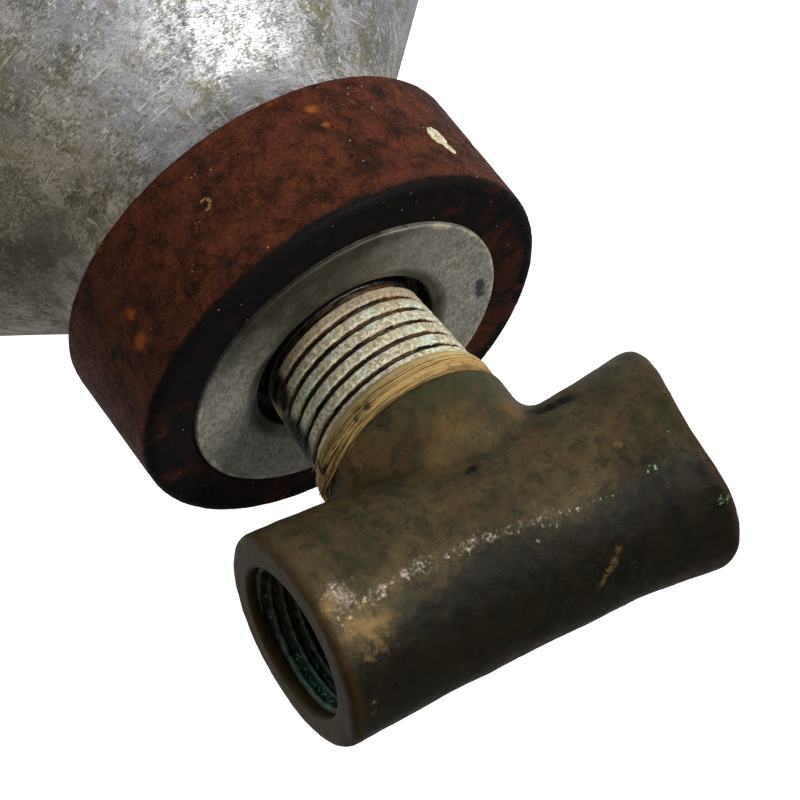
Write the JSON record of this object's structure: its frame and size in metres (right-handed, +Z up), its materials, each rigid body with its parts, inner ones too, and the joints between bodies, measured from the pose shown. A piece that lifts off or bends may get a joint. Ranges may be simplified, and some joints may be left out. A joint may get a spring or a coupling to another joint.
{
  "type": "gas cylinder",
  "caption": "Small upright gas cylinder with a rusty neck ring, and a tee screwed into its neck on hemp packing.",
  "frame": {"origin": "middle of the base, on the plane that the cylinder stands on", "axes": "+Z up the cylinder's axis to the tee, +X along the tee's run towards the port named port_a"},
  "size_m": [0.1, 0.1, 0.3946],
  "materials": {
    "shell": "bare, scratched and stained",
    "ring": "rusted all over",
    "tee": "dark worn patina",
    "hemp": "coarse fibre"
  },
  "bodies": {
    "root": {"cylinder_shell": "shell", "neck_ring": "ring", "tee_body": "tee", "hemp_packing": "hemp"}
  },
  "joints": []
}
